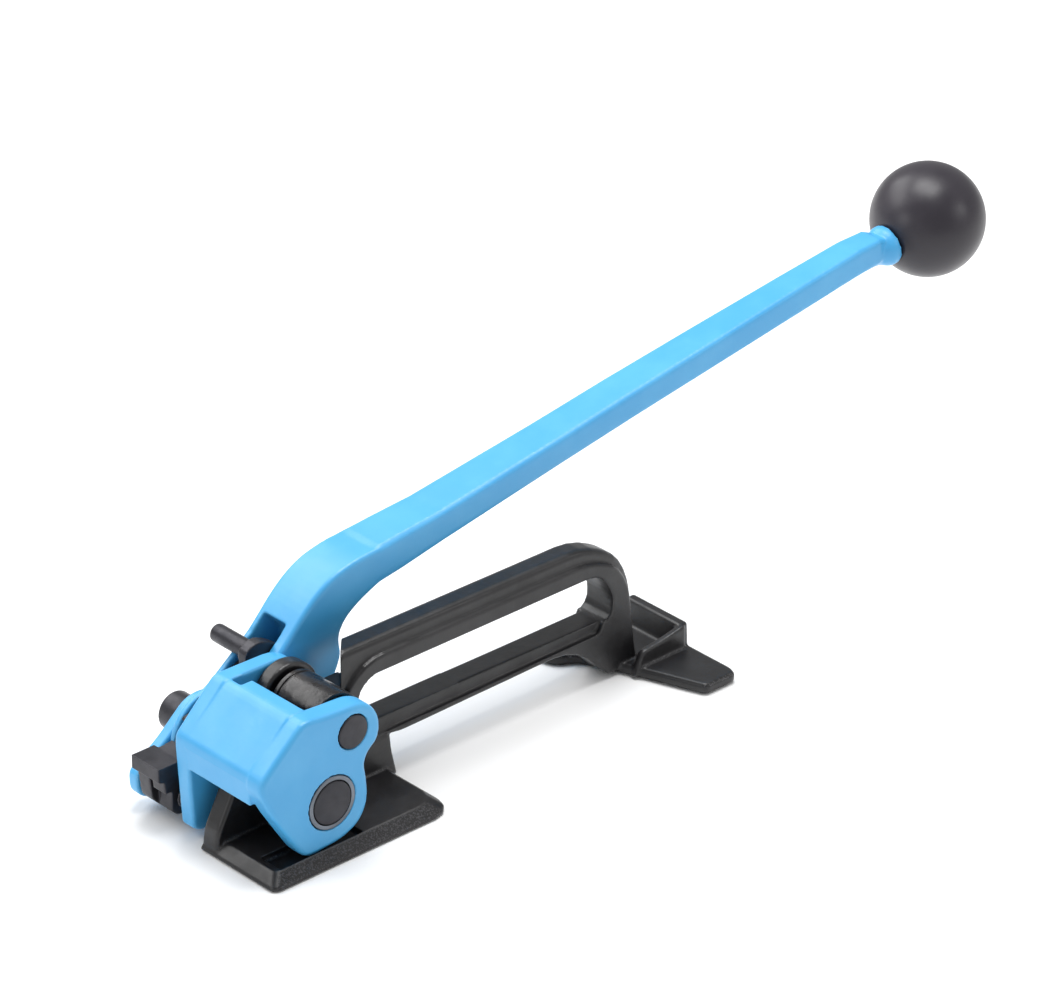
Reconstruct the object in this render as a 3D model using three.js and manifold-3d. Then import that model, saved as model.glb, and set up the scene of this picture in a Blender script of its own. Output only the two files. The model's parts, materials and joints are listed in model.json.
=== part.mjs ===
// Hand tensioner for steel strap: a sprung rocker carries the feedwheel, a ratchet and a long lever.
// Millimetres, +Z up, +X towards the knob, +Y away from the strap entry side.
import * as THREE from 'three';
import { mergeVertices, toCreasedNormals } from 'three/addons/utils/BufferGeometryUtils.js';
import Module from 'manifold-3d';

const wasm = await Module();
wasm.setup();

// ---- driving dimensions -------------------------------------------------------------------
const GAP = 0.3;                                  // running gap between touching pieces
const SHAFT = { x: 0, z: 25 };                    // feedwheel axis
const PIVOT = { x: 11.5, z: 53 };                 // rocker axis
const LIFT = THREE.MathUtils.degToRad(14);        // full swing of the rocker

const FOOT = { x0: -36, x1: 58.5, y0: -27, y1: 19, top: 6, slope: 5 };
const WING = { x0: -8, x1: 52, y1: 52, top: 3.4 };
const REAR = { x0: 198, x1: 217, y0: -28.2, y1: 43, top: 5 };
const RAIL = { y0: 9.5, y1: 26, barY0: 12, barY1: 23.5 };        // width of the rims and of the bar
const RAIL_Z = { top: 66.2, rim: 59, under: 52, lowTop: 29.2, lowRim: 22.6, low: 20 };
const UPRIGHT = { y0: 9.5, y1: 19 };
const HUB = { r: 14.7, y0: 17.6, y1: 25 };

const NEAR = { y0: -20.5, y1: -10 };              // near plate of the rocker
const MIDDLE = { y0: 25.7, y1: 34 };              // plate on the lever side
const CHEEK = { y0: 58.2, y1: 64.2 };             // outermost plate
const BLIND_Y = 29.3;                             // where the pins end inside the middle plate
const SHAFT_R = { near: 9.6, wheel: 8, ratchet: 8, outer: 6.5 };
const SHAFT_END = 75.6;
const RING = { outer: 11.8, inner: SHAFT_R.near + GAP };
const PIN_R = 7.4;
const SLEEVE = { outer: 12.8, inner: 11.2, y0: -9.6, y1: 15.8 };

const WHEEL = { r: 17.1, root: 16, teeth: 24, y0: -9.4, y1: 9 };
const RATCHET = { r: 20.6, root: 17, teeth: 12, y0: 41.2, y1: 53.4 };
const PLUG = { x: 18, y: 18, z0: 2.6, z1: 7 };

const LEVER = { y0: 34.5, y1: 57.7, slotY0: 40.6, slotY1: 54.2, hubR: 20 };
const KNOB = { x: 397, y: 43.6, z: 131.1, r: 25.4, flat: 24 };
const ARM_TILT = THREE.MathUtils.degToRad(9.5);

const DRIVE = { x: 27, z: 50.5, r: 3.4, y0: 41, earY1: 46 };
const THUMB = { x: 13.2, z: 61.5, r: 4, y0: 42.2, y1: 66.5 };
const HOLD = { x: -27, z: 13.5, r: 3.4, y0: 39, y1: 56, noseY0: 41.2, noseY1: 53.2 };
const STAY = { x: 22, z: 10.5, r: 2.4, sleeve: 4 };

const PAINT = { color: 0x58a9e2, roughness: 0.4, metalness: 0 };
const CASTING = { color: 0x2a292d, roughness: 0.46, metalness: 0.1 };
const BLACKENED = { color: 0x45444c, roughness: 0.42, metalness: 0.6 };
const STEEL = { color: 0x8d9097, roughness: 0.36, metalness: 0.9 };
const TURNED = { color: 0xa3abb5, roughness: 0.28, metalness: 0.95 };
const PLASTIC = { color: 0x3c3a42, roughness: 0.44, metalness: 0 };

// ---- solid helpers ------------------------------------------------------------------------
function solid(geometry) {
  const bare = geometry.clone();
  bare.deleteAttribute('normal');
  bare.deleteAttribute('uv');
  const merged = mergeVertices(bare, 1e-5);
  const mesh = new wasm.Mesh({
    numProp: 3,
    vertProperties: new Float32Array(merged.attributes.position.array),
    triVerts: new Uint32Array(merged.index.array),
  });
  return new wasm.Manifold(mesh);
}

function joined(...bodies) {
  return bodies.reduce((sum, body) => sum.add(body));
}

function less(body, ...tools) {
  return tools.reduce((rest, tool) => rest.subtract(tool), body);
}

function geometryOf(body) {
  const mesh = body.simplify(0.01).getMesh();
  const geometry = new THREE.BufferGeometry();
  const points = new Float32Array((mesh.vertProperties.length / mesh.numProp) * 3);
  for (let i = 0; i < points.length / 3; i += 1) {
    for (let k = 0; k < 3; k += 1) points[i * 3 + k] = mesh.vertProperties[i * mesh.numProp + k];
  }
  geometry.setAttribute('position', new THREE.BufferAttribute(points, 3));
  geometry.setIndex(new THREE.BufferAttribute(new Uint32Array(mesh.triVerts), 1));
  return toCreasedNormals(geometry, 0.6);
}

// Closed outline from [u, v, corner radius] points.
function outline(points) {
  const shape = new THREE.Shape();
  const count = points.length;
  points.forEach(([u, v, r = 0], i) => {
    const here = new THREE.Vector2(u, v);
    const before = new THREE.Vector2(...points[(i + count - 1) % count].slice(0, 2));
    const after = new THREE.Vector2(...points[(i + 1) % count].slice(0, 2));
    const back = before.sub(here);
    const ahead = after.sub(here);
    const reach = Math.min(r, back.length() * 0.48, ahead.length() * 0.48);
    const start = here.clone().add(back.setLength(reach || 1e-9));
    const end = here.clone().add(ahead.setLength(reach || 1e-9));
    if (i === 0) shape.moveTo(start.x, start.y);
    else shape.lineTo(start.x, start.y);
    if (reach > 0) shape.quadraticCurveTo(here.x, here.y, end.x, end.y);
  });
  shape.closePath();
  return shape;
}

function extruded(shape, depth, bevel, curve = 4) {
  return new THREE.ExtrudeGeometry(shape, {
    depth: depth - 2 * bevel,
    bevelEnabled: bevel > 0,
    bevelThickness: bevel,
    bevelSize: bevel,
    bevelOffset: -bevel,
    bevelSegments: bevel > 1.5 ? 2 : 1,
    curveSegments: curve,
  }).translate(0, 0, bevel);
}

// Outline in X and Z, thickness in Y.
function sidePlate(points, y0, y1, bevel = 0, curve = 3) {
  const shape = Array.isArray(points) ? outline(points) : points;
  const geometry = extruded(shape, y1 - y0, bevel, curve);
  return solid(geometry.rotateX(Math.PI / 2).translate(0, y1, 0));
}

// Outline in X and Y, thickness in Z.
function floorPlate(points, z0, z1, bevel = 0, curve = 5) {
  return solid(extruded(outline(points), z1 - z0, bevel, curve).translate(0, 0, z0));
}

// Turned piece about a Y axis through x, z; the profile lists [radius, y] pairs.
function turnedY(profile, x, z, segments = 32) {
  const points = profile.map(([r, y]) => new THREE.Vector2(Math.max(r, 0), y));
  return solid(new THREE.LatheGeometry(points, segments)).translate([x, 0, z]);
}

function rod(r, y0, y1, x, z, segments = 32, chamfer = 0.5) {
  const c = Math.min(chamfer, r / 2);
  return turnedY([[0, y0], [r - c, y0], [r, y0 + c], [r, y1 - c], [r - c, y1], [0, y1]], x, z, segments);
}

function bore(r, y0, y1, x, z, segments = 32) {
  return turnedY([[0, y0 - 1], [r, y0 - 1], [r, y1 + 1], [0, y1 + 1]], x, z, segments);
}

function tube(outer, inner, y0, y1, x, z, segments = 32, chamfer = 0.4) {
  return less(rod(outer, y0, y1, x, z, segments, chamfer), bore(inner, y0, y1, x, z, segments));
}

function block(x0, x1, y0, y1, z0, z1) {
  const box = new THREE.BoxGeometry(x1 - x0, y1 - y0, z1 - z0);
  return solid(box.translate((x0 + x1) / 2, (y0 + y1) / 2, (z0 + z1) / 2));
}

// Skin over a row of closed rings with the same number of points.
function loft(rings) {
  const count = rings[0].length;
  const points = rings.flat();
  const index = [];
  for (let s = 0; s + 1 < rings.length; s += 1) {
    for (let i = 0; i < count; i += 1) {
      const a = s * count + i;
      const b = s * count + ((i + 1) % count);
      index.push(a, b, a + count, b, b + count, a + count);
    }
  }
  [[0, -1], [rings.length - 1, 1]].forEach(([s, side]) => {
    const centre = points.length;
    const middle = rings[s].reduce((sum, p) => sum.add(p), new THREE.Vector3()).divideScalar(count);
    points.push(middle);
    for (let i = 0; i < count; i += 1) {
      const a = s * count + i;
      const b = s * count + ((i + 1) % count);
      if (side > 0) index.push(centre, a, b);
      else index.push(centre, b, a);
    }
  });
  const geometry = new THREE.BufferGeometry().setFromPoints(points);
  geometry.setIndex(index);
  return solid(geometry);
}

function aboutPivot(x, z, angle) {
  const dx = x - PIVOT.x;
  const dz = z - PIVOT.z;
  const c = Math.cos(angle);
  const s = Math.sin(angle);
  return { x: PIVOT.x + dx * c + dz * s, z: PIVOT.z - dx * s + dz * c };
}

function coil(radius, wire, y0, y1, turns, x, z) {
  const path = [];
  const steps = turns * 12;
  for (let i = 0; i <= steps; i += 1) {
    const angle = (i / steps) * turns * Math.PI * 2;
    const y = y0 + wire + ((y1 - y0 - 2 * wire) * i) / steps;
    path.push(new THREE.Vector3(x + radius * Math.cos(angle), y, z + radius * Math.sin(angle)));
  }
  const ring = [];
  for (let k = 0; k < 5; k += 1) {
    ring.push([wire * Math.cos((k * Math.PI) / 2.5), wire * Math.sin((k * Math.PI) / 2.5)]);
  }
  return loft(path.map((p) => {
    const out = new THREE.Vector3(p.x - x, 0, p.z - z).normalize();
    return ring.map(([u, v]) => p.clone().addScaledVector(out, u).add(new THREE.Vector3(0, v, 0)));
  }));
}

// ---- base ---------------------------------------------------------------------------------
function roundedRing(x0, x1, y0, y1, radii, z) {
  const corners = [[x0, y0, 180], [x1, y0, 270], [x1, y1, 0], [x0, y1, 90]];
  return corners.flatMap(([x, y, start], k) => [0, 30, 60, 90].map((turn) => {
    const angle = THREE.MathUtils.degToRad(start + turn);
    const cx = x + (x === x0 ? radii[k] : -radii[k]);
    const cy = y + (y === y0 ? radii[k] : -radii[k]);
    return new THREE.Vector3(cx + radii[k] * Math.cos(angle), cy + radii[k] * Math.sin(angle), z);
  }));
}

function footPlate() {
  const { x0, x1, y0, y1, top, slope } = FOOT;
  const main = loft([[0, 0.6], [0.6, 0], [1.7, 0], [top, slope]].map(([z, inset]) => (
    roundedRing(x0 + inset, x1 - inset, y0 + inset, y1 + 3, [3, 9, 2, 2], z)
  )));
  const wing = floorPlate([
    [WING.x0, y1 - 6, 2], [WING.x1, y1 - 6, 2], [WING.x1, WING.y1, 8], [WING.x0, WING.y1, 8],
  ], 0, WING.top, 0.8);
  const trimmed = less(main, block(x0 - 9, WING.x0 - 8, y1, y1 + 9, -1, top + 1));
  const plateRelief = block(-28, 15, NEAR.y0 - 0.9, NEAR.y1 + 1, 3, top + 2);
  return less(joined(trimmed, wing), plateRelief);
}

function rearFoot() {
  const { x0, x1, y0, y1, top } = REAR;
  const plate = floorPlate([
    [x0, y0, 2], [x1 - 2, y0, 3], [x1, y0 + 4, 2], [x1, y1, 8], [164, y1, 8], [167, 32, 5], [176, 27.5, 8],
    [186.5, 3, 10],
  ], 0, top, 1.2);
  const rearRib = sidePlate([[208.6, 1], [x1, 1], [x1 - 0.4, 15.7, 1.2], [212, 15.7, 1.2]], 2.6, 36, 0.6);
  const sideRib = sidePlate([[185, 1], [214, 1], [214, 15.7, 1.5], [200, 13, 4], [189, 12, 3]], 1, 4.4, 0.6);
  return joined(plate, rearRib, sideRib);
}

function handHole() {
  return outline([
    [40, RAIL_Z.lowTop, 5], [178.5, RAIL_Z.lowTop - 1, 5], [180.6, 38, 6], [173, RAIL_Z.under, 14],
    [47, RAIL_Z.under, 5], [40, 46, 4],
  ]);
}

function loop() {
  const bar = [
    [22, RAIL_Z.low + 4], [62, RAIL_Z.low, 4], [160, RAIL_Z.low + 1.4, 12], [182, 1],
    [196, 1], [193.4, 22, 12], [192.6, 40, 12], [186, 55, 16], [168, RAIL_Z.top - 0.6, 20],
    [31.4, RAIL_Z.top, 3], [27.4, 57, 6], [22, 46],
  ];
  const rim = [
    [32.5, RAIL_Z.low + 6, 4], [62, RAIL_Z.low, 4], [158, RAIL_Z.low + 1.4, 12], [178, 2],
    [194, 2], [191.5, 20, 8], [189.6, 40, 10], [183, 52, 12], [168, RAIL_Z.rim, 12],
    [46, RAIL_Z.rim + 0.5, 8], [32.5, 49, 8],
  ];
  const sunk = [
    [50, RAIL_Z.lowRim, 2], [172, RAIL_Z.lowRim + 1, 2], [176, RAIL_Z.lowTop + 2], [46, RAIL_Z.lowTop + 2],
  ];
  const wide = less(
    sidePlate(rim, RAIL.y0, RAIL.y1, 0.8),
    sidePlate(sunk, RAIL.y0 - 1, RAIL.barY0),
    sidePlate(sunk, RAIL.barY1, RAIL.y1 + 1),
  );
  const whole = joined(sidePlate(bar, RAIL.barY0, RAIL.barY1, 2.4), wide);
  const slantedEnd = floorPlate([[18, 8], [29, 8], [45, 25.6], [45, 29], [18, 29]], 49, RAIL_Z.top + 1);
  return less(whole, slantedEnd, sidePlate(handHole(), RAIL.y0 - 5, RAIL.y1 + 5));
}

function upright() {
  const plate = sidePlate([
    [-35.4, 1], [-34.6, 10, 4], [-27, 24.5, 8], [-22.5, 34, 8], [-13, 47, 6], [-3, 58, 6], [8, 63, 4],
    [24, 49, 4], [29.6, 46, 2], [29.6, 29], [44, 21.4], [57, 21.4, 2], [57.6, 14, 4], [60.5, 1],
  ], UPRIGHT.y0, UPRIGHT.y1, 1);
  const heel = sidePlate([
    [30, 1], [60.5, 1], [57.6, 14, 4], [57, 21.4], [34, 21.4],
  ], UPRIGHT.y1 - 3, RAIL.y1, 1);
  const lifted = aboutPivot(SHAFT.x, SHAFT.z, LIFT);
  const reach = SHAFT_R.wheel + 2.2;
  const window = [0, 0.5, 1].map((t) => {
    const at = aboutPivot(SHAFT.x, SHAFT.z, LIFT * t);
    return bore(reach, UPRIGHT.y0, UPRIGHT.y1, at.x, at.z, 32);
  });
  const bridge = sidePlate([
    [SHAFT.x, SHAFT.z - reach], [SHAFT.x, SHAFT.z + reach],
    [lifted.x, lifted.z + reach], [lifted.x, lifted.z - reach],
  ], UPRIGHT.y0 - 1, UPRIGHT.y1 + 1);
  return less(joined(plate, heel), ...window, bridge);
}

function baseCasting() {
  const body = joined(footPlate(), rearFoot(), loop(), upright());
  const cleared = less(body, bore(SLEEVE.outer + 0.6, UPRIGHT.y0 - 3, HUB.y0 - 1, PIVOT.x, PIVOT.z));
  const whole = joined(cleared, rod(HUB.r, HUB.y0, HUB.y1, PIVOT.x, PIVOT.z, 36, 0.8));
  const half = { x: PLUG.x / 2 + GAP, y: PLUG.y / 2 + GAP };
  return less(
    whole,
    bore(PIN_R + GAP, HUB.y0, HUB.y1, PIVOT.x, PIVOT.z),
    block(-half.x, half.x, -half.y, half.y, PLUG.z0 - GAP, 12),
  );
}

function gripperPlug() {
  const body = block(-PLUG.x / 2, PLUG.x / 2, -PLUG.y / 2, PLUG.y / 2, PLUG.z0, PLUG.z1);
  const cutters = [];
  for (let i = -2; i <= 2; i += 1) {
    cutters.push(sidePlate([
      [i * 3.4 - 0.8, PLUG.z1 + 0.2], [i * 3.4, PLUG.z1 - 0.7], [i * 3.4 + 0.8, PLUG.z1 + 0.2],
    ], -PLUG.y, PLUG.y));
  }
  return less(body, ...cutters);
}

// ---- rocker -------------------------------------------------------------------------------
const NEAR_OUTLINE = [
  [-14, 3.8, 5], [5, 5.7, 4], [14.2, 9.6, 4], [19, 17.4, 5], [19, 27, 4], [17.4, 36, 4], [19.5, 40.6, 3],
  [24.3, 44, 4], [25.9, 49, 4], [25.4, 55.5, 4], [21.4, 61.6, 4], [15.2, 64.6, 4], [-3, 65.6, 5],
  [-14, 67, 4], [-36, 47.6, 3], [-36.6, 42, 3], [-30.6, 30, 3], [-22.5, 17, 3],
];

const MIDDLE_OUTLINE = [
  [-33.6, 5.6, 1.5], [-30, 3.2, 1.5], [-14, 3.2, 2], [-11, 6.4, 2], [21, 6, 4], [27.5, 11, 4],
  [24, 18, 4], [19.4, 27, 4], [18, 36, 4], [20.5, 41, 3], [25, 45, 4], [26, 50, 4], [25, 56, 4],
  [21.5, 62, 4], [14, 66.4, 4], [-10, 67, 2],
  [-15.5, 67, 2], [-35.6, 47.4, 3], [-36, 43, 4],
];

function rockerHousing() {
  const near = sidePlate(NEAR_OUTLINE, NEAR.y0, NEAR.y1, 1.8);
  const middle = sidePlate(MIDDLE_OUTLINE, MIDDLE.y0, MIDDLE.y1, 1);
  const roof = sidePlate([
    [-36, 44], [-35.4, 47.6, 2], [-15, 66.8, 3], [-6.5, 66.8], [-9, 61.2, 2], [-29, 43.6, 2],
  ], NEAR.y1 - 2, MIDDLE.y0 + 1.5);
  const apron = sidePlate([
    [-35.2, 33.4, 1], [-36, 44], [-35.2, 47], [-29.5, 47], [-30.8, 34.4],
  ], NEAR.y1 - 2, MIDDLE.y0 + 1.5);
  const notch = block(-12.5, 0, MIDDLE.y0 - 6, MIDDLE.y0, 58, 70);
  return less(
    joined(near, middle, apron, less(roof, notch)),
    bore(PIN_R + GAP, NEAR.y0, MIDDLE.y1, PIVOT.x, PIVOT.z),
    bore(RING.outer + GAP, NEAR.y0, NEAR.y1, SHAFT.x, SHAFT.z, 36),
    bore(SHAFT_R.wheel + 2 + 2 * GAP, MIDDLE.y0, MIDDLE.y1, SHAFT.x, SHAFT.z),
    bore(HOLD.r + GAP, BLIND_Y, MIDDLE.y1, HOLD.x, HOLD.z, 16),
    bore(STAY.r + GAP, BLIND_Y, MIDDLE.y1, STAY.x, STAY.z, 16),
  );
}

function outerCheek() {
  const plate = joined(
    rod(15.4, CHEEK.y0, CHEEK.y1, SHAFT.x, SHAFT.z, 36, 0.8),
    sidePlate([
      [-36.4, 17.6, 3], [-36, 8.2, 3], [-31, 4.4, 3], [22, 4.8, 5], [28, 11, 5], [25, 17, 4], [13.2, 32.8],
      [-9.6, 37], [-22.5, 25.8, 6],
    ], CHEEK.y0, CHEEK.y1, 0.8),
  );
  return less(
    plate,
    bore(SHAFT_R.outer + 2 + 2 * GAP, CHEEK.y0, CHEEK.y1, SHAFT.x, SHAFT.z, 32),
    bore(HOLD.r + GAP, CHEEK.y0, CHEEK.y1, HOLD.x, HOLD.z, 16),
    bore(STAY.r + GAP, CHEEK.y0, CHEEK.y1, STAY.x, STAY.z, 16),
  );
}

function headedPin(at, headR) {
  const shank = rod(at.r, BLIND_Y - 0.7, CHEEK.y1 + 0.8, at.x, at.z, 16, 0.5);
  return joined(shank, rod(headR, CHEEK.y1 + GAP, CHEEK.y1 + 2.8, at.x, at.z, 16, 0.8));
}

// ---- drive line ---------------------------------------------------------------------------
function driveShaft() {
  const { near, wheel, outer } = SHAFT_R;
  const body = turnedY([
    [0, NEAR.y0 - 0.4], [near - 0.8, NEAR.y0 - 0.4], [near, NEAR.y0 + 0.4], [near, NEAR.y1 + 0.1],
    [wheel, NEAR.y1 + 0.1], [wheel, 53.8], [outer, 53.8], [outer, SHAFT_END - 1],
    [outer - 1, SHAFT_END], [0, SHAFT_END],
  ], SHAFT.x, SHAFT.z, 36);
  return less(body, keySlot(WHEEL, 0), keySlot(RATCHET, 0));
}

function keySlot(part, grow) {
  return block(-2 - grow, 2 + grow, part.y0 + 1.4, part.y1 - 1.4, SHAFT.z + 5.6, SHAFT.z + 10 + grow);
}

function key(part) {
  return block(-1.75, 1.75, part.y0 + 1.8, part.y1 - 1.8, SHAFT.z + 5.9, SHAFT.z + 9.6);
}

function toothed(part, lean) {
  const points = [];
  for (let i = 0; i < part.teeth; i += 1) {
    const start = (i / part.teeth) * Math.PI * 2;
    const step = (Math.PI * 2) / part.teeth;
    [[0, part.root], [lean, part.r], [lean + 0.12, part.r], [lean + 0.2, part.root]].forEach(([t, r]) => {
      const angle = start + t * step;
      points.push([SHAFT.x + r * Math.cos(angle), SHAFT.z + r * Math.sin(angle)]);
    });
  }
  return sidePlate(points, part.y0, part.y1, 0);
}

function feedwheel() {
  const body = toothed(WHEEL, 0.4);
  const grooves = [-5, 0, 5].map((y) => less(
    rod(WHEEL.r + 1, y - 0.5, y + 0.5, SHAFT.x, SHAFT.z, 36, 0),
    bore(WHEEL.root - 0.1, y - 0.5, y + 0.5, SHAFT.x, SHAFT.z, 36),
  ));
  return less(
    body,
    ...grooves,
    bore(SHAFT_R.wheel + GAP, WHEEL.y0, WHEEL.y1, SHAFT.x, SHAFT.z),
    keySlot(WHEEL, 0.05),
  );
}

function ratchetWheel() {
  return less(
    toothed(RATCHET, 0.62),
    bore(SHAFT_R.ratchet + GAP, RATCHET.y0, RATCHET.y1, SHAFT.x, SHAFT.z),
    keySlot(RATCHET, 0.05),
  );
}

function endCap() {
  const cap = turnedY([
    [0, CHEEK.y1 + 0.4], [8.6, CHEEK.y1 + 0.4], [8.6, SHAFT_END + 2.2], [7.4, SHAFT_END + 3.4],
    [0, SHAFT_END + 3.4],
  ], SHAFT.x, SHAFT.z, 32);
  return less(cap, rod(SHAFT_R.outer + GAP, 60, SHAFT_END + 0.4, SHAFT.x, SHAFT.z, 32, 0));
}

// ---- lever --------------------------------------------------------------------------------
const FORK = [
  [-14, 39.3], [-0.8, 45.6, 8], [12.1, 55.6, 8], [21.7, 62.8, 8], [34, 76, 8], [42, 82.6, 6], [50.5, 87, 6],
  [62, 89.6, 4], [76, 90.7], [76, 75.2], [71, 73.2, 6], [63, 69.6, 6], [55.5, 64.6, 5], [51.5, 58, 4],
  [53, 49, 3], [49, 39.5, 5], [39, 28.5, 6], [19.5, 19.8], [8, 22],
];

const SLOT = [
  [-45, 0], [-45, 78], [18, 78], [28.5, 70], [36.5, 61], [38, 47], [31, 33], [22, 22],
];

// Sections along the arm: x, z of the middle, height, width, y of the middle.
const ARM = [
  [60, 80, 15, 22, 46.1], [75, 82.6, 17.3, 23.8, 46.1], [86, 84.2, 16.9, 23.2, 45.9],
  [108, 87.7, 14.7, 21.9, 45.4], [174, 99, 13.2, 20, 44.9], [215, 106.2, 13, 19.2, 44.6],
  [259, 113.6, 12.9, 18, 44], [311, 122.1, 12.9, 16, 43.4], [348, 127.6, 12.6, 14.6, 43.5],
  [362, 128.6, 12, 13.4, 43.7], [367, 128, 9.4, 10.4, 43.7],
];

function armRing([x, z, height, width, y]) {
  const ring = [];
  for (let i = 0; i < 32; i += 1) {
    const angle = ((i + 0.5) / 32) * Math.PI * 2;
    const c = Math.cos(angle);
    const s = Math.sin(angle);
    const square = (Math.abs(c) ** 9 + Math.abs(s) ** 9) ** (-1 / 9);
    ring.push(new THREE.Vector3(x, y + c * square * (width / 2), z + s * square * (height / 2)));
  }
  return ring;
}

// Lays a piece turned about Y along the arm's end, with its zero at the knob's centre.
function alongArm(body) {
  const tilt = THREE.MathUtils.radToDeg(ARM_TILT);
  return body.rotate([0, 0, -90]).rotate([0, -tilt, 0]).translate([KNOB.x, KNOB.y, KNOB.z]);
}

function thumbAt(angle) {
  const dx = THUMB.x - DRIVE.x;
  const dz = THUMB.z - DRIVE.z;
  const c = Math.cos(angle);
  const s = Math.sin(angle);
  return { x: DRIVE.x + dx * c + dz * s, z: DRIVE.z - dx * s + dz * c };
}

function lever() {
  const fork = joined(
    rod(LEVER.hubR, LEVER.y0, LEVER.y1, SHAFT.x, SHAFT.z, 36, 1),
    sidePlate(FORK, LEVER.y0, LEVER.y1, 1.6),
  );
  const collar = alongArm(turnedY([
    [0, -44], [5, -44], [5.6, -36], [6.2, -33], [8.6, -29], [9.1, -27.6], [9.1, -25], [0, -25],
  ], 0, 0, 32));
  const thumbNotch = [0, 8, 16, 24].map((degrees) => {
    const at = thumbAt(THREE.MathUtils.degToRad(degrees));
    return bore(THUMB.r + 0.6, LEVER.slotY1, LEVER.y1, at.x, at.z, 16);
  });
  const body = less(
    fork,
    sidePlate(SLOT, LEVER.slotY0, LEVER.slotY1),
    rod(24, LEVER.slotY0, LEVER.slotY1, SHAFT.x, SHAFT.z, 36, 0),
    bore(SHAFT_R.ratchet + GAP, LEVER.y0, LEVER.slotY0, SHAFT.x, SHAFT.z),
    bore(SHAFT_R.outer + GAP, LEVER.slotY1, LEVER.y1, SHAFT.x, SHAFT.z),
    bore(DRIVE.r + GAP, LEVER.y0, LEVER.y1, DRIVE.x, DRIVE.z, 16),
    ...thumbNotch,
  );
  const studHole = alongArm(rod(3.3, -48, 0, 0, 0, 16));
  return less(joined(body, loft(ARM.map(armRing)), collar), studHole);
}

function knob() {
  const profile = [[0, -KNOB.flat], [7.4, -KNOB.flat]];
  for (let degrees = -68; degrees < 90; degrees += 10) {
    const angle = THREE.MathUtils.degToRad(degrees);
    profile.push([KNOB.r * Math.cos(angle), KNOB.r * Math.sin(angle)]);
  }
  profile.push([0, KNOB.r]);
  return alongArm(less(turnedY(profile, 0, 0, 32), rod(3.3, -34, -4, 0, 0, 16)));
}

function knobStud() {
  return alongArm(rod(3, -47, -4.6, 0, 0, 16));
}

function drivePawl() {
  const working = sidePlate([
    [4.2, 45.7], [7, 45.5], [15, 46.8, 3], [22, 44.4, 3], [28, 43.4, 4], [34, 47, 4], [34, 53, 4],
    [29, 57.4, 4], [20, 56.6, 4], [12, 52.6, 3], [5, 50.5, 2],
  ], DRIVE.y0, 53.6);
  const ear = sidePlate([
    [10, 50], [28, 50], [29, 58.4, 4], [21, 64.6, 4], [14, 67.4, 4], [7.4, 64, 4], [7.6, 58, 3],
  ], DRIVE.y0, DRIVE.earY1);
  return less(
    joined(working, ear),
    rod(6.4, 50.2, 60, DRIVE.x, DRIVE.z, 16, 0),
    bore(DRIVE.r + GAP, DRIVE.y0, 54, DRIVE.x, DRIVE.z, 16),
    rod(THUMB.r + GAP, THUMB.y0 - 0.3, 60, THUMB.x, THUMB.z, 16, 0),
  );
}

function thumbPin() {
  return turnedY([
    [0, THUMB.y0], [THUMB.r, THUMB.y0], [THUMB.r, THUMB.y1 - 2], [THUMB.r - 0.8, THUMB.y1 - 0.7],
    [THUMB.r - 2, THUMB.y1], [0, THUMB.y1],
  ], THUMB.x, THUMB.z, 20);
}

function holdingPawl() {
  const tail = sidePlate([
    [-40.4, 29.6], [-40.4, 23.4], [-37.6, 22.4], [-36, 10, 2], [-31, 5, 2], [-24, 5.4, 2], [-21.6, 12.4, 2],
    [-25, 20], [-28.6, 29.6],
  ], HOLD.y0, HOLD.y1);
  const nose = sidePlate([
    [-34, 18], [-24.6, 18], [-25, 24.5], [-20.9, 28], [-22, 30.4], [-29, 29.6],
  ], HOLD.noseY0, HOLD.noseY1);
  const groove = block(-46, -32.6, 47, 48.8, 0, 23);
  const step = block(-46, -33.8, HOLD.y0 - 1, 48, 0, 17);
  const pinHole = bore(HOLD.r + GAP, HOLD.y0, HOLD.y1, HOLD.x, HOLD.z, 16);
  return less(joined(tail, nose), groove, step, pinHole);
}

// ---- assembly -----------------------------------------------------------------------------
const sleeve = () => tube(SLEEVE.outer, SLEEVE.inner, SLEEVE.y0, SLEEVE.y1, PIVOT.x, PIVOT.z, 36);
const spacer = () => tube(STAY.sleeve, STAY.r + GAP, MIDDLE.y1 + GAP, CHEEK.y0 - GAP, STAY.x, STAY.z, 20);

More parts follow.
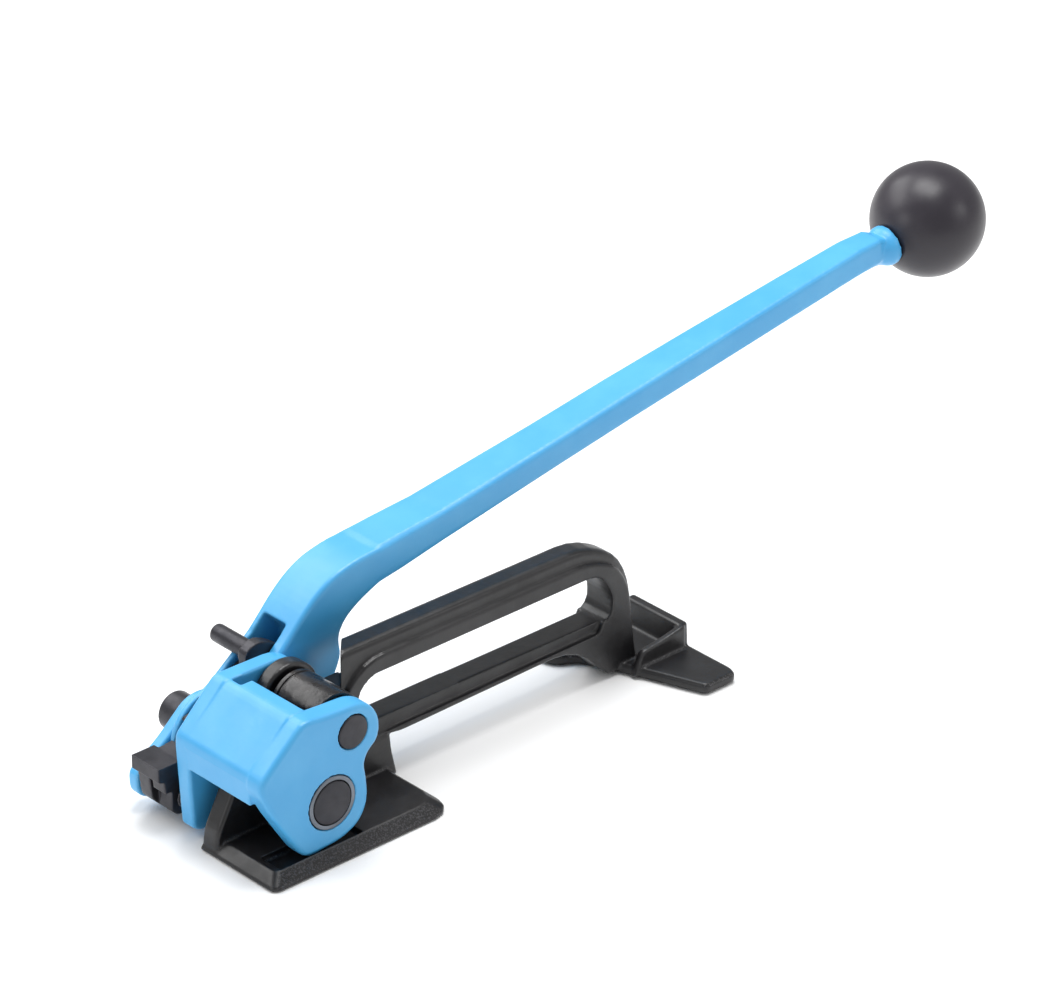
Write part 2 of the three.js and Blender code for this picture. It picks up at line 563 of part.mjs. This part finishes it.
const PARTS = [
  ['base_casting', baseCasting, CASTING],
  ['gripper_plug', gripperPlug, STEEL],
  ['pivot_pin', () => rod(PIN_R, NEAR.y0 - 0.3, MIDDLE.y1 - 0.2, PIVOT.x, PIVOT.z, 32, 0.8), BLACKENED],
  ['pivot_sleeve', sleeve, BLACKENED],
  ['rocker_spring', () => coil(9.4, 1.1, SLEEVE.y0 + 0.4, SLEEVE.y1 - 0.4, 8, PIVOT.x, PIVOT.z), STEEL],
  ['rocker_housing', rockerHousing, PAINT],
  ['outer_cheek', outerCheek, PAINT],
  ['cheek_spacer', spacer, STEEL],
  ['cheek_screw', () => headedPin(STAY, 4.4), BLACKENED],
  ['shaft_ring', () => tube(RING.outer, RING.inner, NEAR.y0 - 0.2, NEAR.y1, SHAFT.x, SHAFT.z, 36), TURNED],
  ['middle_bush', () => tube(10.3, 8.3, MIDDLE.y0, MIDDLE.y1, SHAFT.x, SHAFT.z), TURNED],
  ['outer_bush', () => tube(8.8, 6.8, CHEEK.y0, CHEEK.y1, SHAFT.x, SHAFT.z), TURNED],
  ['drive_shaft', driveShaft, BLACKENED],
  ['feedwheel', feedwheel, STEEL],
  ['wheel_key', () => key(WHEEL), STEEL],
  ['ratchet_wheel', ratchetWheel, BLACKENED],
  ['ratchet_key', () => key(RATCHET), STEEL],
  ['shaft_end_cap', endCap, BLACKENED],
  ['lever', lever, PAINT],
  ['knob', knob, PLASTIC],
  ['knob_stud', knobStud, STEEL],
  ['drive_pawl', drivePawl, BLACKENED],
  ['thumb_pin', thumbPin, BLACKENED],
  ['drive_pawl_pin', () => rod(DRIVE.r, LEVER.y0 + 0.2, LEVER.y1 - 0.2, DRIVE.x, DRIVE.z, 16), STEEL],
  ['drive_pawl_spring', () => coil(4.8, 0.45, 50.4, 53.9, 2, DRIVE.x, DRIVE.z), STEEL],
  ['holding_pawl', holdingPawl, BLACKENED],
  ['holding_pawl_pin', () => headedPin(HOLD, 5), BLACKENED],
  ['holding_pawl_spring', () => coil(5, 0.5, 34.4, 38.6, 2, HOLD.x, HOLD.z), STEEL],
];

const assembly = new THREE.Group();
assembly.name = 'strap_tensioner';
PARTS.forEach(([name, make, finish]) => {
  const material = new THREE.MeshStandardMaterial(finish);
  material.name = name;
  const mesh = new THREE.Mesh(geometryOf(make()), material);
  mesh.name = name;
  assembly.add(mesh);
});

export default assembly;
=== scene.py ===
"""Steel strap tensioner: looks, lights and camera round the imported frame."""

import json
import math

import bmesh
import bpy
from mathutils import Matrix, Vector


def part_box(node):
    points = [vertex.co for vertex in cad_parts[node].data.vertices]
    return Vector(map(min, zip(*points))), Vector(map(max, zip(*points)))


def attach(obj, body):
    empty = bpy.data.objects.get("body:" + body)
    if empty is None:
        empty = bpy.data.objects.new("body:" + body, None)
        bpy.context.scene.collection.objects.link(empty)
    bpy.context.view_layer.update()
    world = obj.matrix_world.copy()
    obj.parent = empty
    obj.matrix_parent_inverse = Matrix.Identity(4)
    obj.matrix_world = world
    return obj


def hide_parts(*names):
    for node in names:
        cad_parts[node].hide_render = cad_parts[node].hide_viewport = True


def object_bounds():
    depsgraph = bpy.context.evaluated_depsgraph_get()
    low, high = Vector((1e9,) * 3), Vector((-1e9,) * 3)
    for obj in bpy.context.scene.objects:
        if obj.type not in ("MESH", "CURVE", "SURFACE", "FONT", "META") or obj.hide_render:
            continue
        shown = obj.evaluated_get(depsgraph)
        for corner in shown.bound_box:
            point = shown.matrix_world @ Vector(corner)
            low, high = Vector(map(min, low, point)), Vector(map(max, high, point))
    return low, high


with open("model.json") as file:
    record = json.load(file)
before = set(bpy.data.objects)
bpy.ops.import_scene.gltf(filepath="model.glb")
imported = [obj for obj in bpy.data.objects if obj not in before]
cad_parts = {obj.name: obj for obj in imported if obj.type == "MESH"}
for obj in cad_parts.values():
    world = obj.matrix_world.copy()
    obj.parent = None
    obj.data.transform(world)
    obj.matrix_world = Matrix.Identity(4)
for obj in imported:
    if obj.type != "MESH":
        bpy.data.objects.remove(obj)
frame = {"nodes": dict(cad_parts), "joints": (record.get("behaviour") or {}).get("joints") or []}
CAD_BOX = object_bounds()
NODES = frame["nodes"]

# ---- dimensions in metres: the joints' from the frame, the rest typed to match the CAD -------
JOINTS = {joint["name"]: joint for joint in frame["joints"]}
PIVOT = Vector(JOINTS["rocker_lift"]["pos_m"])
SHAFT = Vector(JOINTS["feed_spin"]["pos_m"])
KNOB = Vector((0.397, 0.0436, 0.1311))
KNOB_R = 0.0254
KNOB_FLAT = -0.0240                       # flat of the ball, against the lever's collar
THUMB = Vector((0.0132, 0.0, 0.0615))
ARM_TILT = math.radians(9.5)
ALONG_ARM = Vector((math.cos(ARM_TILT), 0.0, math.sin(ARM_TILT)))
ACROSS = Vector((0.0, 1.0, 0.0))
SHAFT_R = {"near": 0.0096, "wheel": 0.0080, "outer": 0.0065}
SHAFT_STEP_Y = {"near": -0.0099, "outer": 0.0538}
RING_R = {"outer": 0.0118, "inner": 0.0099}
SLEEVE_R = {"outer": 0.0128, "inner": 0.0112, "groove": 0.0122}
CAP_R = {"outer": 0.0086, "inner": 0.0068, "depth": 0.0028}
PIN_R = 0.0074
THUMB_R = 0.0040
ROUND = 96                                # sides of a turned piece
FLOOR_GAP = 0.0002                        # the floor lies just under the feet

BLUE = (0.052, 0.350, 0.68)
BLUE_PALE = (0.070, 0.385, 0.71)
IRON = (0.0050, 0.0047, 0.0056)
DARK_STEEL = (0.028, 0.028, 0.034)
PLASTIC = (0.020, 0.017, 0.024)


# ---- materials -----------------------------------------------------------------------------
class Shader:
    """A Principled material with short calls for the nodes that feed it."""

    def __init__(self, name):
        self.material = bpy.data.materials.new(name)
        self.material.use_nodes = True
        self.nodes = self.material.node_tree.nodes
        self.links = self.material.node_tree.links
        self.bsdf = self.nodes["Principled BSDF"]
        self.coords = self.nodes.new("ShaderNodeTexCoord").outputs["Object"]

    def set(self, **values):
        for name, value in values.items():
            self.bsdf.inputs[name.replace("_", " ")].default_value = value
        return self

    def noise(self, scale, detail=4.0, rough=0.55, stretch=(1, 1, 1)):
        mapping = self.nodes.new("ShaderNodeMapping")
        mapping.inputs["Scale"].default_value = stretch
        self.links.new(self.coords, mapping.inputs["Vector"])
        node = self.nodes.new("ShaderNodeTexNoise")
        node.inputs["Scale"].default_value = scale
        node.inputs["Detail"].default_value = detail
        node.inputs["Roughness"].default_value = rough
        self.links.new(mapping.outputs["Vector"], node.inputs["Vector"])
        return node.outputs["Fac"]

    def ramp(self, value, low, high, out_low=0.0, out_high=1.0):
        node = self.nodes.new("ShaderNodeMapRange")
        node.interpolation_type = "SMOOTHSTEP"
        node.inputs["From Min"].default_value = low
        node.inputs["From Max"].default_value = high
        node.inputs["To Min"].default_value = out_low
        node.inputs["To Max"].default_value = out_high
        self.links.new(value, node.inputs["Value"])
        return node.outputs["Result"]

    def times(self, a, b):
        node = self.nodes.new("ShaderNodeMath")
        node.operation = "MULTIPLY"
        self.links.new(a, node.inputs[0])
        self.links.new(b, node.inputs[1])
        return node.outputs["Value"]

    def mix(self, fac, a, b):
        node = self.nodes.new("ShaderNodeMix")
        node.data_type = "RGBA"
        for name, value in (("A", a), ("B", b)):
            socket = next(s for s in node.inputs if s.name == name and s.type == "RGBA")
            if isinstance(value, tuple):
                socket.default_value = (*value, 1.0)
            else:
                self.links.new(value, socket)
        self.links.new(fac, node.inputs["Factor"])
        return next(s for s in node.outputs if s.type == "RGBA")

    def edges(self, low=0.52, high=0.62):
        """1 on sharp outside edges."""
        point = self.nodes.new("ShaderNodeNewGeometry").outputs["Pointiness"]
        return self.ramp(point, low, high)

    def split(self, vector, axis):
        node = self.nodes.new("ShaderNodeSeparateXYZ")
        self.links.new(vector, node.inputs["Vector"])
        return node.outputs[axis]

    def border(self):
        """1 on the entry side's sloped face close to the floor, where the painted glints go."""
        normal = self.nodes.new("ShaderNodeNewGeometry").outputs["Normal"]
        sideways = self.ramp(self.split(normal, "Y"), -0.60, -0.40, 1.0, 0.0)
        sloped = self.times(sideways, self.ramp(self.split(normal, "Z"), 0.25, 0.45))
        return self.times(sloped, self.ramp(self.split(self.coords, "Z"), 0.0062, 0.0080, 1.0, 0.0))

    def colour(self, value):
        self.links.new(value, self.bsdf.inputs["Base Color"])
        return self

    def roughness(self, value):
        self.links.new(value, self.bsdf.inputs["Roughness"])
        return self

    def bump(self, height, strength, distance):
        node = self.nodes.new("ShaderNodeBump")
        node.inputs["Strength"].default_value = strength
        node.inputs["Distance"].default_value = distance
        self.links.new(height, node.inputs["Height"])
        previous = self.bsdf.inputs["Normal"].links
        if previous:
            self.links.new(previous[0].from_socket, node.inputs["Normal"])
        self.links.new(node.outputs["Normal"], self.bsdf.inputs["Normal"])
        return self


def enamel():
    """Light blue enamel: soft gloss, faint orange peel, rubbed edges painted paler, partly wear and
    partly a painted highlight along the ridges.
    """
    s = Shader("blue_enamel").set(Specular_IOR_Level=0.45, Coat_Weight=0.25, Coat_Roughness=0.3)
    cloud = s.ramp(s.noise(38, 5), 0.35, 0.7)
    body = s.mix(cloud, BLUE, BLUE_PALE)
    # rubbed edges painted paler: partly wear, partly a painted highlight along the ridges
    rub = s.times(s.edges(0.515, 0.57), s.ramp(s.noise(260, 6), 0.42, 0.66))
    s.colour(s.mix(rub, body, (0.24, 0.55, 0.82)))
    s.roughness(s.ramp(s.noise(90, 4), 0.3, 0.7, 0.34, 0.46))
    return s.bump(s.noise(520, 3), 0.08, 0.0004).material


def black_casting():
    """Satin black enamel over a sand casting; the foot's slope on the entry side gets grit bumps and
    painted glints, lighter speckles in its colour.
    """
    s = Shader("black_casting").set(Specular_IOR_Level=0.45, Coat_Weight=0.12, Coat_Roughness=0.36)
    cloud = s.ramp(s.noise(45, 5), 0.35, 0.68)
    body = s.mix(cloud, IRON, (0.011, 0.0105, 0.0118))
    rub = s.times(s.edges(0.52, 0.58), s.ramp(s.noise(300, 6), 0.35, 0.62))
    worn = s.mix(rub, body, (0.050, 0.049, 0.053))
    # painted glints: lighter speckles painted on the entry side's foot slope; the same speckle also
    # drives the grit bumps
    grit_and_glints = s.times(s.ramp(s.noise(1300, 2), 0.50, 0.62), s.border())
    s.colour(s.mix(grit_and_glints, worn, (0.048, 0.047, 0.052)))
    s.roughness(s.ramp(s.noise(120, 5), 0.3, 0.7, 0.30, 0.44))
    s.bump(s.noise(420, 5, 0.6), 0.16, 0.0005)
    return s.bump(grit_and_glints, 0.5, 0.0004).material


def dark_steel(name="blackened_steel", worn=True):
    """Blackened steel with fine grain; worn adds rubbed corners."""
    s = Shader(name).set(Metallic=0.55)
    cloud = s.ramp(s.noise(80, 4), 0.35, 0.7)
    body = s.mix(cloud, DARK_STEEL, (0.044, 0.043, 0.050))
    if worn:
        rub = s.times(s.edges(0.53, 0.62), s.ramp(s.noise(400, 5), 0.40, 0.65))
        body = s.mix(rub, body, (0.14, 0.14, 0.15))
    s.colour(body)
    s.roughness(s.ramp(s.noise(200, 4), 0.3, 0.7, 0.32, 0.46))
    return s.bump(s.noise(700, 4), 0.10, 0.0003).material


def bright_steel(name="bright_steel", tint=(0.36, 0.38, 0.41), rough=(0.25, 0.4)):
    """Turned or ground bare steel with fine tool marks."""
    s = Shader(name).set(Metallic=0.95)
    cloud = s.ramp(s.noise(60, 4), 0.35, 0.7)
    darker = tuple(c * 0.7 for c in tint)
    s.colour(s.mix(cloud, tint, darker))
    s.roughness(s.ramp(s.noise(150, 4), 0.3, 0.7, *rough))
    return s.bump(s.noise(900, 3, 0.5, (1, 12, 1)), 0.10, 0.0002).material


def oiled_steel():
    """Blackened steel tube under a wet film of oil."""
    s = Shader("oiled_steel").set(Specular_IOR_Level=0.35, Coat_Weight=0.2, Coat_Roughness=0.12)
    smear = s.ramp(s.noise(120, 6, 0.6, (1, 0.3, 1)), 0.50, 0.70)
    s.colour(s.mix(smear, (0.005, 0.004, 0.005), (0.026, 0.020, 0.018)))
    s.roughness(s.ramp(s.noise(160, 5), 0.35, 0.65, 0.20, 0.38))
    return s.bump(s.noise(300, 5), 0.45, 0.0006).material


def knob_plastic():
    """Moulded black plastic with a satin skin and faint handling marks."""
    s = Shader("knob_plastic").set(Specular_IOR_Level=0.42, Coat_Weight=0.1, Coat_Roughness=0.3)
    cloud = s.ramp(s.noise(35, 4), 0.35, 0.7)
    s.colour(s.mix(cloud, PLASTIC, (0.027, 0.023, 0.031)))
    s.roughness(s.ramp(s.noise(70, 5), 0.3, 0.7, 0.34, 0.44))
    return s.bump(s.noise(800, 3), 0.05, 0.0003).material


# ---- meshes --------------------------------------------------------------------------------
def place(bm, name, material, body, smooth_angle=35):
    mesh = bpy.data.meshes.new(name)
    bm.normal_update()
    bm.to_mesh(mesh)
    bm.free()
    piece = bpy.data.objects.new(name, mesh)
    bpy.context.scene.collection.objects.link(piece)
    mesh.materials.append(material)
    mesh.shade_smooth()
    mesh.set_sharp_from_angle(angle=math.radians(smooth_angle))
    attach(piece, body)
    return piece


def eased(profile, radius, steps=3):
    """Rounds every corner of an open profile of (along, out) points, but not its two ends."""
    points = [Vector(p) for p in profile]
    out = [points[0]]
    for before, here, after in zip(points, points[1:], points[2:]):
        back, ahead = before - here, after - here
        reach = min(radius, back.length * 0.45, ahead.length * 0.45)
        start = here + back.normalized() * reach
        end = here + ahead.normalized() * reach
        for k in range(steps + 1):
            t = k / steps
            out.append(start * (1 - t) ** 2 + here * (2 * t * (1 - t)) + end * t ** 2)
    return out + [points[-1]]


def turned(profile, origin, axis, steps=ROUND):
    """Closed piece turned about a line; the profile lists (distance along it, distance from it)."""
    side = axis.orthogonal().normalized()
    other = axis.cross(side)
    bm = bmesh.new()
    rows = []
    for along, out in profile:
        middle = origin + axis * along
        count = 1 if out < 1e-7 else steps
        rows.append([
            bm.verts.new(middle + (side * math.cos(a) + other * math.sin(a)) * out)
            for a in (2 * math.pi * i / steps for i in range(count))
        ])
    if profile[0][1] > 1e-7:
        rows.append(rows[0])
    for low, high in zip(rows, rows[1:]):
        for i in range(steps):
            j = (i + 1) % steps
            corners = [low[i % len(low)], low[j % len(low)], high[j % len(high)], high[i % len(high)]]
            unique = list(dict.fromkeys(corners))
            if len(unique) > 2:
                bm.faces.new(unique)
    bmesh.ops.recalc_face_normals(bm, faces=bm.faces)
    return bm


def stand_in(node, body, profile, origin, axis, material, angle=35):
    """Finer turned piece shown in place of a CAD node."""
    piece = place(turned(profile, origin, axis), node + "_fine", material, body, angle)
    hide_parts(node)


def soften(node, voxel, passes, factor=0.5):
    """Remeshes a node and smooths it, which rounds its edges a little."""
    piece = NODES[node]
    remesh = piece.modifiers.new("even_mesh", "REMESH")
    remesh.mode = "VOXEL"
    remesh.voxel_size = voxel
    remesh.use_smooth_shade = True
    smooth = piece.modifiers.new("rounded_edges", "SMOOTH")
    smooth.factor = factor
    smooth.iterations = passes


def crisp(node, angle=30):
    """Smooth shading on a node's round faces, with its corners kept."""
    mesh = NODES[node].data
    mesh.shade_smooth()
    mesh.set_sharp_from_angle(angle=math.radians(angle))


# ---- stage ---------------------------------------------------------------------------------
def floor():
    bm = bmesh.new()
    bmesh.ops.create_grid(bm, x_segments=2, y_segments=2, size=6.0)
    mesh = bpy.data.meshes.new("floor")
    bm.to_mesh(mesh)
    bm.free()
    ground = bpy.data.objects.new("floor", mesh)
    ground.location.z = CAD_BOX[0].z - FLOOR_GAP
    bpy.context.scene.collection.objects.link(ground)
    s = Shader("pale_floor").set(Roughness=0.85)
    s.colour(s.mix(s.noise(3, 2), (0.93, 0.93, 0.93), (0.96, 0.96, 0.96)))
    mesh.materials.append(s.material)


def area_light(name, where, aim, size, watts):
    data = bpy.data.lights.new(name, "AREA")
    data.shape = "RECTANGLE"
    data.size, data.size_y = size
    data.energy = watts
    lamp = bpy.data.objects.new(name, data)
    lamp.location = where
    lamp.rotation_euler = (Vector(aim) - Vector(where)).to_track_quat("-Z", "Y").to_euler()
    bpy.context.scene.collection.objects.link(lamp)


def light():
    world = bpy.data.worlds.new("studio")
    bpy.context.scene.world = world
    world.use_nodes = True
    background = world.node_tree.nodes["Background"]
    background.inputs["Color"].default_value = (1.0, 1.0, 1.0, 1.0)
    background.inputs["Strength"].default_value = 0.50
    target = (0.15, 0.02, 0.05)
    area_light("overhead", (0.35, 0.10, 1.45), target, (0.9, 0.7), 17)
    area_light("back", (-0.2, 1.10, 1.15), target, (1.7, 0.8), 16)
    area_light("left", (-1.3, 0.20, 0.60), target, (0.5, 0.5), 3)
    area_light("right", (1.1, -1.1, 0.70), target, (0.5, 0.5), 2.5)
    bpy.context.scene.view_settings.view_transform = "Standard"


def camera():
    """Eye ahead of the foot, on the entry side and above, with a long lens."""
    azimuth, elevation = math.radians(42.17), math.radians(28.26)
    look = Vector((
        math.sin(azimuth) * math.cos(elevation),
        math.cos(azimuth) * math.cos(elevation),
        -math.sin(elevation),
    ))
    data = bpy.data.cameras.new("camera")
    data.sensor_width = 36.0
    data.lens = 204.5
    data.clip_end = 20.0
    eye = bpy.data.objects.new("camera", data)
    eye.location = Vector((0.049, -0.082, 0.170)) - 2.3 * look
    eye.rotation_mode = "QUATERNION"
    eye.rotation_quaternion = look.to_track_quat("-Z", "Y")
    bpy.context.scene.collection.objects.link(eye)
    bpy.context.scene.camera = eye


# ---- the tool ------------------------------------------------------------------------------
def span(node):
    """Where a node starts and ends across the tool."""
    low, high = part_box(node)
    return low[1], high[1]


def round_pieces(steel, ring_steel, plastic):
    shaft = Vector((SHAFT.x, 0.0, SHAFT.z))
    pivot = Vector((PIVOT.x, 0.0, PIVOT.z))

    ball = [(KNOB_FLAT, 0.0), (KNOB_FLAT, 0.0074)]
    ball += [
        (KNOB_R * math.sin(math.radians(d)), KNOB_R * math.cos(math.radians(d)))
        for d in range(-70, 90, 4)
    ]
    ball.append((KNOB_R, 0.0))
    stand_in("knob", "lever", ball, KNOB, ALONG_ARM, plastic, 60)

    y0, y1 = span("drive_shaft")
    step_in, step_out = SHAFT_STEP_Y["near"], SHAFT_STEP_Y["outer"]
    shaft_line = [
        (y0, 0.0), (y0, SHAFT_R["near"]), (step_in, SHAFT_R["near"]),
        (step_in, SHAFT_R["wheel"]), (step_out, SHAFT_R["wheel"]),
        (step_out, SHAFT_R["outer"]), (y1, SHAFT_R["outer"]), (y1, 0.0),
    ]
    stand_in("drive_shaft", "feed", eased(shaft_line, 0.0007), shaft, ACROSS, steel, 50)

    y0, y1 = span("shaft_ring")
    outer, inner = RING_R["outer"], RING_R["inner"]
    ring = [(y0, 0.0108), (y0, outer), (y1, outer), (y1, inner), (y0, inner), (y0, 0.0107)]
    stand_in("shaft_ring", "rocker", eased(ring, 0.0004), shaft, ACROSS, ring_steel, 50)

    y0, y1 = span("pivot_pin")
    pin = [(y0, 0.0), (y0, PIN_R), (y1, PIN_R), (y1, 0.0)]
    stand_in("pivot_pin", "base", eased(pin, 0.0008), pivot, ACROSS, steel, 50)

    y0, y1 = span("pivot_sleeve")
    outer, inner, groove = SLEEVE_R["outer"], SLEEVE_R["inner"], SLEEVE_R["groove"]
    sleeve = [
        (y0, 0.0120), (y0, outer), (y1 - 0.0034, outer), (y1 - 0.0034, groove),
        (y1 - 0.0022, groove), (y1 - 0.0022, outer), (y1, outer), (y1, inner),
        (y0, inner), (y0, 0.0119),
    ]
    stand_in("pivot_sleeve", "base", eased(sleeve, 0.0004), pivot, ACROSS, oiled_steel(), 50)

    y0, y1 = span("shaft_end_cap")
    stand_in("shaft_end_cap", "feed", cap_profile(y0, y1), shaft, ACROSS, steel, 50)

    y0, y1 = span("thumb_pin")
    thumb = [(y0, 0.0), (y0, THUMB_R), (y1, THUMB_R), (y1, 0.0)]
    stand_in("thumb_pin", "drive_pawl", eased(thumb, 0.0016), THUMB, ACROSS, steel, 50)


def cap_profile(y0, y1):
    """Cap with a blind hole that the shaft's end goes into."""
    outer, inner, floor_y = CAP_R["outer"], CAP_R["inner"], y1 - CAP_R["depth"]
    outside = eased([(y0, 0.0070), (y0, outer), (y1, outer), (y1, 0.0)], 0.0012)
    return outside + [Vector((floor_y, 0.0)), Vector((floor_y, inner)), Vector((y0, inner))]


def main():
    paint, iron, steel = enamel(), black_casting(), dark_steel()
    unworn = dark_steel("turned_black_steel", worn=False)
    bright, plastic = bright_steel(), knob_plastic()
    finish = {
        "base_casting": iron, "rocker_housing": paint, "outer_cheek": paint, "lever": paint,
        "knob": plastic, "shaft_ring": bright, "middle_bush": bright, "outer_bush": bright,
        "gripper_plug": bright, "feedwheel": bright, "cheek_spacer": bright,
        "knob_stud": bright, "wheel_key": bright, "ratchet_key": bright, "drive_pawl_pin": bright,
        "ratchet_wheel": unworn, "cheek_screw": unworn, "holding_pawl_pin": unworn,
    }
    for name, node in NODES.items():
        node.data.materials.clear()
        node.data.materials.append(finish.get(name, steel))
        crisp(name)
    soften("base_casting", 0.0006, 4)
    soften("rocker_housing", 0.0005, 5)
    soften("outer_cheek", 0.0005, 3)
    soften("lever", 0.0006, 5)
    soften("holding_pawl", 0.0004, 2)
    soften("drive_pawl", 0.0004, 3)
    ring = bright_steel("turned_ring", (0.19, 0.21, 0.24), (0.32, 0.46))
    round_pieces(unworn, ring, plastic)
    floor()
    light()
    camera()


main()
